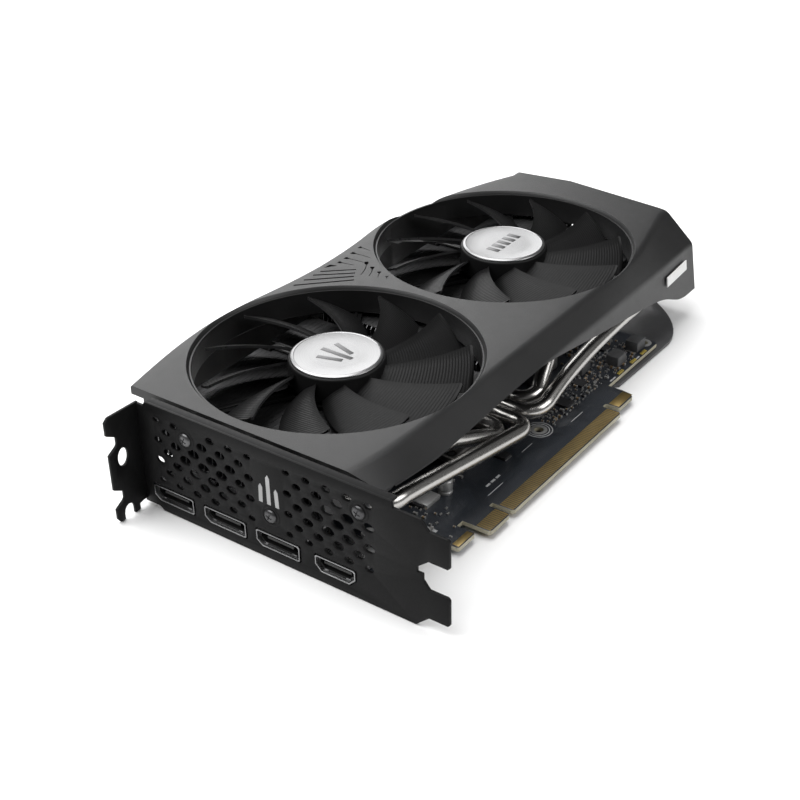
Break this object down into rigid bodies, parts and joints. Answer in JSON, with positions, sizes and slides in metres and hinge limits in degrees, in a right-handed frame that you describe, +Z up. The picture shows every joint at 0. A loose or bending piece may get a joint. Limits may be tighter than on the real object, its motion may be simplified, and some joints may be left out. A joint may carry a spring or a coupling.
{
  "type": "graphics card",
  "caption": "Dual-fan, dual-slot graphics card with a dark shroud, nickel heat pipes, a black circuit board and a perforated I/O bracket.",
  "frame": {"origin": "middle of the bounding box in plan, at the underside of the backplate", "axes": "+X from the I/O bracket to the far end, +Y from the edge connector to the top edge, +Z up from the backplate to the fans"},
  "size_m": [0.241, 0.1346, 0.0403],
  "materials": {
    "backplate_paint": "satin black coat on sheet",
    "board_laminate": "black solder mask on glass laminate",
    "bracket_paint": "matte black powder coat on steel sheet",
    "chip_epoxy": "moulded epoxy",
    "copper": "machined copper plate",
    "fan_plastic": "satin black moulding with fine ridges",
    "ferrite": "pressed ferrite",
    "fin_sheet": "stamped sheet",
    "label_stock": "blank white label",
    "lead_pvc": "black insulation",
    "motor_board": "green laminate",
    "package_laminate": "green substrate",
    "pipe_nickel": "polished nickel plate on copper",
    "plated_steel": "nickel-plated stamped shell",
    "screw_black": "black zinc",
    "shroud_plastic": "fine-textured matte dark grey moulding",
    "silicon": "polished die",
    "socket_plastic": "black moulding",
    "spun_cap": "spun silver with a bright bevel",
    "steel": "ground"
  },
  "bodies": {
    "card": {"backplate": "backplate_paint", "bearing_far": "copper", "bearing_near": "copper", "bracket_screw_1": "screw_black", "bracket_screw_2": "screw_black", "bracket_screw_3": "screw_black", "capacitor_1": "plated_steel", "capacitor_2": "plated_steel", "choke_1": "ferrite", "choke_2": "ferrite", "choke_3": "ferrite", "choke_4": "ferrite", "circuit_board": "board_laminate", "fan_header_far": "socket_plastic", "fan_header_near": "socket_plastic", "fan_lead_far": "lead_pvc", "fan_lead_near": "lead_pvc", "fan_shroud": "shroud_plastic", "fin_stack_far": "fin_sheet", "fin_stack_near": "fin_sheet", "gpu_die": "silicon", "gpu_package": "package_laminate", "heat_pipe_far_inner": "pipe_nickel", "heat_pipe_far_outer": "pipe_nickel", "heat_pipe_near_inner": "pipe_nickel", "heat_pipe_near_outer": "pipe_nickel", "heatsink_base": "copper", "io_bracket": "bracket_paint", "memory_chip_1": "chip_epoxy", "memory_chip_2": "chip_epoxy", "memory_chip_3": "chip_epoxy", "memory_chip_4": "chip_epoxy", "motor_board_far": "motor_board", "motor_board_near": "motor_board", "motor_frame_far": "fan_plastic", "motor_frame_near": "fan_plastic", "power_socket": "socket_plastic", "side_label": "label_stock", "spring_screw_1": "screw_black", "spring_screw_2": "screw_black", "spring_screw_3": "screw_black", "spring_screw_4": "screw_black", "stator_far": "plated_steel", "stator_near": "plated_steel", "video_socket_1": "plated_steel", "video_socket_2": "plated_steel", "video_socket_3": "plated_steel", "wide_video_socket": "plated_steel"},
    "fan_near": {"fan_rotor_near": "fan_plastic", "hub_cap_near": "spun_cap", "rotor_magnet_near": "ferrite", "rotor_shaft_near": "steel"},
    "fan_far": {"fan_rotor_far": "fan_plastic", "hub_cap_far": "spun_cap", "rotor_magnet_far": "ferrite", "rotor_shaft_far": "steel"}
  },
  "joints": [
    {"name": "fan_near_spin", "type": "hinge", "parent": "card", "child": "fan_near", "pos_m": [-0.04822, 0.0173, 0.033], "axis": [0, 0, 1], "continuous": true},
    {"name": "fan_far_spin", "type": "hinge", "parent": "card", "child": "fan_far", "pos_m": [0.05448, 0.0173, 0.033], "axis": [0, 0, 1], "continuous": true}
  ]
}
